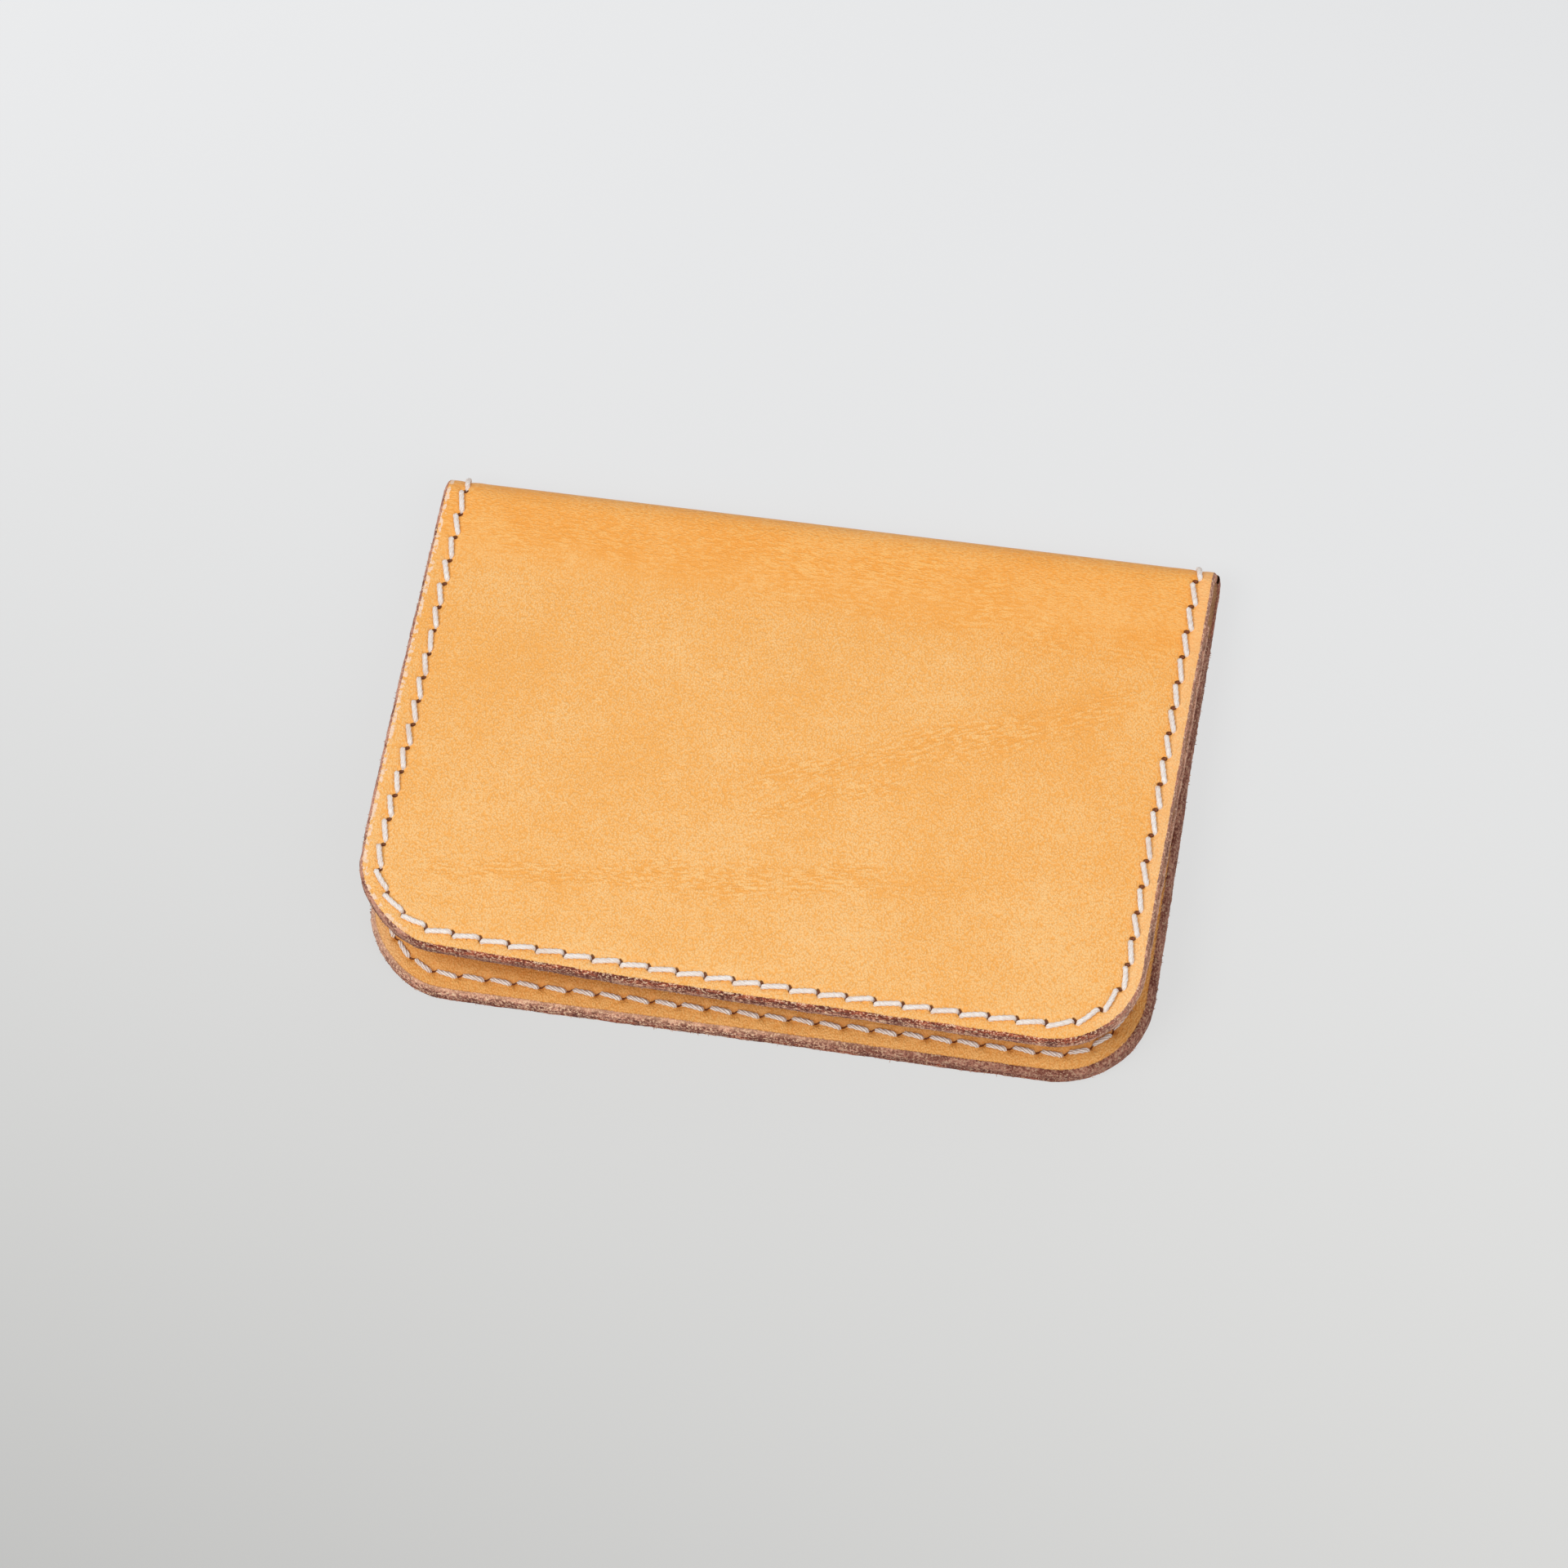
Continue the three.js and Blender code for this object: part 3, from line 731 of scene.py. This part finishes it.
def leather(name, tones, edge_tones, inside, creases, worn, dusky):
    """Vegetable-tanned leather: grain, flesh and cut edge of one panel. Worn is how much of the
    left shoulder is rubbed pale, and dusky how much darker the cut edge gets toward that side."""
    n = Nodes(name)
    light, dark, deep = tones
    pattern = n.attribute("pattern", "Vector")
    x, s, _ = n.parts(pattern)
    _, v, _ = n.parts(n.attribute("seam", "Vector"))
    rim = n.attribute("rim")
    edge = n.attribute("edge")
    flesh = n.attribute("flesh")

    # Grain and creases, as heights in millimetres.
    creased, lines = 0.0, 0.0
    for middle, turn, half_length, half_width, strength in creases:
        mask, band = crease_band(n, pattern, middle, turn, half_length, half_width)
        creased = n.math("MAXIMUM", creased, mask)
        lines = n.total(lines, n.times(band, mask, strength))
    upright = n.cells(n.stretched(pattern, (4.4, 3.2, 3.4), turn=0.12), 1.0, "SMOOTH_F1", 0.35)
    drawn = n.cells(n.stretched(pattern, (2.2, 4.8, 3.4)), 1.0, "SMOOTH_F1", 0.35)
    flat_share = n.between(s, 6.0, 17.0)
    pebbles = n.total(n.times(upright, flat_share),
                      n.times(drawn, n.math("SUBTRACT", 1.0, flat_share)))
    fine = n.noise(n.stretched(pattern, (8.0, 5.5, 6.0)), 1.0, 1, 0.5)
    swell = n.noise(n.stretched(pattern, (1.3, 0.8, 1.0)), 1.0, 2, 0.5)
    mottle = n.noise(pattern, 0.34, 3, 0.6)
    clouds = n.noise(pattern, 0.06, 3, 0.55)
    rugged = n.between(s, 5.0, 20.0, 0.75, 1.0)
    height = n.total(n.times(pebbles, -GRAIN_HEIGHT, rugged), n.times(fine, 0.035),
                     n.times(swell, 0.035), n.times(mottle, 0.02), lines)

    # Colour of the grain face: from light to dark, with painted shade at the fold, toward the right
    # and in the creases, painted highlight and shade on the crease lines, and painted sheen toward
    # the free edge.
    dots = n.times(n.math("SUBTRACT", pebbles, 0.35), rugged)
    tone = n.total(off_middle(n, clouds, 0.5, 1.1), off_middle(n, mottle, 0.5, 0.65),
                   off_middle(n, swell, 0.5, 0.30), off_middle(n, fine, 0.5, 1.4),
                   n.times(dots, 1.6))
    # Painted highlight and shade along the crease lines, on top of their bump.
    tone = n.math("SUBTRACT", tone, n.times(lines, 54.0))
    # Painted sheen: paler toward the free edge.
    tone = n.math("SUBTRACT", tone, n.between(s, 30.0, 66.0, 0.0, 0.18))
    colour = n.blend(n.math("ADD", tone, 0.48, clamp=True), light, dark)
    # Painted shade: darker at the fold, toward the right and across the crease bands.
    shade_share = n.total(n.between(s, 1.0, 21.0, 0.50, 0.0), n.between(x, 5.0, 48.0, 0.0, 0.15),
                    n.times(creased, 0.24))
    colour = n.blend(shade_share, colour, PAINTED_SHADE_TINT, mode="MULTIPLY")
    # Painted shade between the leaves, deeper further into the pocket.
    if inside:
        colour = n.blend(n.between(rim, 2.2, 6.5, 0.0, 0.8), colour, GAP_SHADE_TINT, mode="MULTIPLY")
    specks = n.between(n.cells(pattern, 0.075), 0.012, 0.024, 0.75, 0.0)
    colour = n.blend(specks, colour, SPECK)

    # Rubbed, pale left shoulder, then painted highlight on the right margin, painted shade along
    # the seam and painted shade in its awl slits.
    ragged = n.noise(n.stretched(pattern, (2.6, 1.1, 1.0)), 1.0, 4, 0.70)
    reach = n.total(rim, n.times(ragged, 1.7))
    pale = n.times(n.between(reach, 1.74, 1.86, 1.0, 0.0),
                   n.between(n.noise(pattern, 1.1, 3), 0.44, 0.52),
                   n.between(x, -48.0, -42.0, worn, 0.0), n.between(rim, 0.30, 0.50))
    colour = n.blend(pale, colour, RUBBED)
    # Painted highlight along the grain edge on the right.
    margin = n.times(n.between(rim, 1.6, 2.4, 0.25, 0.0), n.between(x, 44.0, 50.0))
    colour = n.blend(margin, colour, MARGIN_HIGHLIGHT)
    # Painted shade along the seam line, where the stitches shade the leather.
    seam_shade = n.between(n.math("ABSOLUTE", v), 0.25, 0.70, 0.25, 0.0)
    colour = n.blend(seam_shade, colour, deep)
    slit = slit_mask(n, inside)
    # Painted shade in the awl holes: the slits are coloured dark.
    colour = n.blend(n.times(slit, 0.9), colour, SLIT_SHADE)

    # Flesh face, then the cut edge, with a ragged line between it and the grain.
    suede = n.noise(pattern, 2.2, 4, 0.7)
    colour = n.blend(flesh, colour, n.blend(suede, *FLESH))
    shoulder_highlight_share = 0.45 if inside else 0.0
    raw, fibres, bevelled = cut_edge(n, pattern, x, rim, edge_tones, shoulder_highlight_share, worn, dusky)
    teeth = n.noise(n.stretched(pattern, (4.0, 2.6, 3.0)), 1.0, 4, 0.75)
    cut = n.total(n.math("MAXIMUM", edge, bevelled), off_middle(n, teeth, 0.5, 1.7))
    colour = n.blend(n.between(cut, 0.34, 0.58), colour, raw)

    height = n.math("SUBTRACT", height, n.times(slit, 0.30))
    height = n.total(height, n.times(fibres, edge, 0.22), n.times(suede, flesh, 0.12))
    roughness = n.total(n.between(pebbles, 0.1, 0.6, 0.44, 0.56),
                        n.times(n.math("MAXIMUM", edge, flesh), 0.3))
    return n.surface(Base_Color=colour, Roughness=roughness, Normal=n.bump(height, MM),
                     Specular_IOR_Level=0.38)


# ---- Thread and loose fibre -----------------------------------------------------------------

THREAD_TONES = (linear(255, 251, 246), linear(228, 200, 184))
THREAD_VALLEY_SHADE = linear(150, 104, 80)
THREAD_STAIN = linear(206, 160, 120)
LOOSE_FIBRE = (linear(226, 186, 158), linear(150, 92, 70))


def in_millimetres(n):
    object_place = n.add("ShaderNodeTexCoord").outputs["Object"]
    return n.stretched(object_place, (1 / MM, 1 / MM, 1 / MM))


def waxed_thread(name):
    """Waxed linen thread, with painted shade in the valleys between its plies."""
    n = Nodes(name)
    tone = n.attribute("tone")
    fluff = n.noise(n.attribute("strand", "Vector"), 1.7, 4, 0.70)
    shade = n.total(n.times(n.between(fluff, 0.42, 0.66), 0.80), n.times(tone, 0.15))
    colour = n.blend(shade, *THREAD_TONES)
    # Painted shade in the valleys between the plies.
    valley = n.between(n.attribute("valley"), 0.55, 1.0, 0.0, 0.75)
    colour = n.blend(valley, colour, THREAD_VALLEY_SHADE)
    stain = n.between(n.noise(in_millimetres(n), 0.5, 2), 0.5, 0.75, 0.0, 0.25)
    colour = n.blend(stain, colour, THREAD_STAIN)
    return n.surface(Base_Color=colour, Roughness=0.62, Normal=n.bump(n.times(fluff, -0.11), MM),
                     Specular_IOR_Level=0.3)


def loose_fibre(name):
    """Torn leather fibre, from pale to dark brown."""
    n = Nodes(name)
    shade = n.noise(in_millimetres(n), 1.3, 2)
    colour = n.blend(n.between(shade, 0.35, 0.65), *LOOSE_FIBRE)
    return n.surface(Base_Color=colour, Roughness=0.8, Specular_IOR_Level=0.2)


# ---- Building the holder --------------------------------------------------------------------

# Creases on the covers: middle (x, s), direction, half length, half width, strength.
FRONT_CREASES = (
    ((20.0, 32.7), math.radians(-20.4), 34.0, 3.4, 0.026),
    ((6.0, 42.5), math.radians(-24), 14.0, 1.8, 0.024),
    ((-12.0, 57.3), math.radians(-6.6), 44.0, 3.0, 0.024),
    ((-12.0, 9.0), math.radians(1), 58.0, 6.5, 0.014),
    ((24.0, 14.0), math.radians(2), 45.0, 4.0, 0.011),
)
BACK_CREASES = (
    ((-14.0, 40.0), math.radians(12), 40.0, 4.0, 0.024),
    ((5.0, 9.0), math.radians(-1), 60.0, 6.5, 0.016),
)

# Light, dark, and the painted shade along the seam line beside the stitches.
COVER_TONES = (linear(250, 201, 135), linear(243, 172, 84), linear(245, 168, 68))
POCKET_TONES = (linear(238, 182, 108), linear(226, 156, 76), linear(184, 102, 32))

front_leather = leather("front_leather", COVER_TONES, COVER_EDGE, inside=False,
                        creases=FRONT_CREASES, worn=1.0, dusky=0.0)
back_leather = leather("back_leather", COVER_TONES, COVER_EDGE, inside=False,
                       creases=BACK_CREASES, worn=0.5, dusky=0.35)
pocket_leather = leather("pocket_leather", POCKET_TONES, POCKET_EDGE, inside=True,
                         creases=(), worn=0.2, dusky=0.5)
thread = waxed_thread("waxed_thread")
fibre = loose_fibre("loose_fibre")

POCKET_OUTER = COVER + LAYER_GAP
POCKET = LEAF_THICKNESS - POCKET_OUTER
FOLD_STITCHES = 2               # at each end of a leaf's seam, these lie round the fold and are not attached to a leaf


def cover_panel(name, leaf, seed):
    return panel(name, leaf, start=0.0, outer=0.0, thickness=COVER, bevel=0.55, grain_out=True,
                 closed=False, seed=seed)


def pocket_panel(name, leaf, bevel, seed, spill=0.0):
    return panel(name, leaf, start=MOUTH, outer=POCKET_OUTER, thickness=POCKET, bevel=bevel,
                 grain_out=False, closed=True, seed=seed, spill=spill)


cover_back = cover_panel("cover_back", "back", seed=21)
cover_front = cover_panel("cover_front", "front", seed=34)
pocket_back = pocket_panel("pocket_panel_back", "back", bevel=1.0, seed=47)
pocket_front = pocket_panel("pocket_panel_front", "front", bevel=0.75, seed=58, spill=0.3)


def leaf_runs(leaf):
    last = len(HOLE_PLACES[leaf]) - 1
    return [(FOLD_STITCHES, last - FOLD_STITCHES, inside) for inside in (False, True)]


def fold_runs(leaf):
    last = len(HOLE_PLACES[leaf]) - 1
    ends = ((0, FOLD_STITCHES), (last - FOLD_STITCHES, last))
    return [(*end, inside) for inside in (False, True) for end in ends]


stitches_back = stitching("stitches_back", "back", leaf_runs("back"), seed=3)
stitches_front = stitching("stitches_front", "front", leaf_runs("front"), seed=4)
fold_stitches_back = stitching("fold_stitches_back", "back", fold_runs("back"), seed=5)
fold_stitches_front = stitching("fold_stitches_front", "front", fold_runs("front"), seed=6)

fuzz_back = edge_fibres("edge_fibres_back", "back", seed=71)
fuzz_front = edge_fibres("edge_fibres_front", "front", seed=72)

for piece, material, slot in (
    (fuzz_back, fibre, "pocket_leather"),
    (fuzz_front, fibre, "pocket_leather"),
    (cover_back, back_leather, "cover_leather"),
    (cover_front, front_leather, "cover_leather"),
    (pocket_back, pocket_leather, "pocket_leather"),
    (pocket_front, pocket_leather, "pocket_leather"),
    (stitches_back, thread, "thread"),
    (stitches_front, thread, "thread"),
    (fold_stitches_back, thread, "thread"),
    (fold_stitches_front, thread, "thread"),
):
    piece.data.materials.append(material)

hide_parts("cover_back_half", "cover_spine")
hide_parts("cover_front_half")
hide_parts("pocket_back")
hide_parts("pocket_front")
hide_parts("stitching_back_a", "stitching_back_b")
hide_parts("stitching_front_a", "stitching_front_b")
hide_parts("stitching_spine_left_a", "stitching_spine_right_a")
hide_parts("stitching_spine_left_b", "stitching_spine_right_b")

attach(fuzz_back, "back_leaf")
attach(fuzz_front, "front_leaf")
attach(pocket_back, "back_leaf")
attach(stitches_back, "back_leaf")
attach(pocket_front, "front_leaf")
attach(stitches_front, "front_leaf")

# The bend would run across the diagonal of each quarter of the fold, starting past the flat of a
# leaf and complete at the middle of the spine. The marks for it are worked out below but not used;
# the covers and the stitches on the fold are only baked in place at rest.
LEAF_SIDE = COVER / 2
SPINE_SIDE = (2 * FOLD_RADIUS - COVER) / 2


def fold_mark(distance, leaf):
    """A point on the diagonal of a quarter of the fold, at rest, in metres."""
    point = np.array([[0.0, AXIS_Y + distance, distance]])
    if leaf == "front":
        point[:, 2] = 2 * AXIS_Z - point[:, 2]
        point = open_about(point, LOW_HINGE_Y, LOW_HINGE_Z, SWEEP)
    return tuple(point[0] * MM)


for piece in (cover_back, fold_stitches_back):
    fold_mark(LEAF_SIDE, "back")
    fold_mark(SPINE_SIDE, "back")
    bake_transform(piece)
for piece in (cover_front, fold_stitches_front):
    fold_mark(SPINE_SIDE, "front")
    fold_mark(LEAF_SIDE, "front")
    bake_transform(piece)


# ---- Floor, light and camera ----------------------------------------------------------------

FLOOR_DROP = 0.0001             # keeps the floor just under the leather


def studio_floor():
    """Pale paper that mostly glows: its emission is painted light, brighter and cooler toward the
    back and changing slowly across it, x and y here being in decimetres.
    """
    n = Nodes("studio_floor")
    place_x, place_y, _ = n.parts(n.add("ShaderNodeNewGeometry").outputs["Position"])
    x = n.times(n.math("MAXIMUM", n.math("MINIMUM", place_x, 0.16), -0.16), 10.0)
    y = n.times(n.math("MAXIMUM", n.math("MINIMUM", place_y, 0.13), -0.16), 10.0)
    level = n.total(n.times(x, 0.0165), n.times(y, 0.105))
    level = n.math("SUBTRACT", level, n.times(x, y, 0.040))
    level = n.math("SUBTRACT", level, n.times(y, y, 0.047))
    level = n.total(level, 0.743)
    tint = n.blend(n.between(y, -1.3, 1.0), (1.0, 0.999, 0.978, 1), (0.992, 1.0, 1.012, 1))
    # Painted light: the floor glows, so that it lights the holder from below and shows little
    # shadow.
    glow = n.add("ShaderNodeEmission", {"Color": tint, "Strength": level})
    paper = n.add("ShaderNodeBsdfDiffuse", {"Color": (0.8, 0.8, 0.8, 1)})
    mixed = n.add("ShaderNodeMixShader", (0.12, glow.outputs[0], paper.outputs[0]))
    output = n.add("ShaderNodeOutputMaterial")
    n.tree.links.new(mixed.outputs[0], output.inputs[0])
    return n.material


bpy.ops.mesh.primitive_plane_add(size=6.0, location=(0, 0, -FLOOR_DROP))
floor = bpy.context.object
floor.name = "studio_floor"
floor.data.materials.append(studio_floor())


def area_light(name, place_m, size, power, colour):
    """A round lamp that points at the holder."""
    data = bpy.data.lights.new(name, "AREA")
    data.shape = "DISK"
    data.size = size
    data.energy = power
    data.color = colour
    lamp = bpy.data.objects.new(name, data)
    lamp.location = place_m
    lamp.rotation_euler = (-Vector(place_m)).to_track_quat("-Z", "Y").to_euler()
    bpy.context.scene.collection.objects.link(lamp)


area_light("key", (-0.50, -0.38, 1.08), size=0.7, power=8.35, colour=(1.0, 0.99, 0.97))
area_light("fill", (0.85, -0.6, 0.95), size=1.0, power=5.4, colour=(0.97, 0.98, 1.0))
area_light("rim", (0.15, 1.0, 0.75), size=0.9, power=1.8, colour=(1.0, 1.0, 1.0))

world = bpy.data.worlds.new("studio")
world.use_nodes = True
background = world.node_tree.nodes["Background"]
background.inputs["Color"].default_value = (0.93, 0.935, 0.945, 1)
background.inputs["Strength"].default_value = 0.46
bpy.context.scene.world = world


def photo_camera(azimuth, elevation, roll, distance, target, lens):
    """A camera looking at target. Azimuth 0 looks along +Y, and roll turns the view about its
    own axis."""
    azimuth, elevation, roll = (math.radians(value) for value in (azimuth, elevation, roll))
    back = Vector((math.sin(azimuth) * math.cos(elevation),
                   -math.cos(azimuth) * math.cos(elevation), math.sin(elevation)))
    level = (-back).cross(Vector((0, 0, 1))).normalized()
    upright = level.cross(-back)
    right = level * math.cos(roll) + upright * math.sin(roll)
    up = upright * math.cos(roll) - level * math.sin(roll)
    data = bpy.data.cameras.new("camera")
    data.lens = lens
    data.sensor_width = 36
    data.clip_end = 20
    camera = bpy.data.objects.new("camera", data)
    turn = Matrix((right, up, back)).transposed().to_4x4()
    camera.matrix_world = Matrix.Translation(Vector(target) + back * distance) @ turn
    bpy.context.scene.collection.objects.link(camera)
    bpy.context.scene.camera = camera


photo_camera(azimuth=24.05, elevation=68.2, roll=-15.29, distance=1.0737,
             target=(-0.00027, -0.00093, 0.003), lens=186.4)

bpy.context.scene.view_settings.view_transform = "Standard"
bpy.context.scene.view_settings.look = "None"
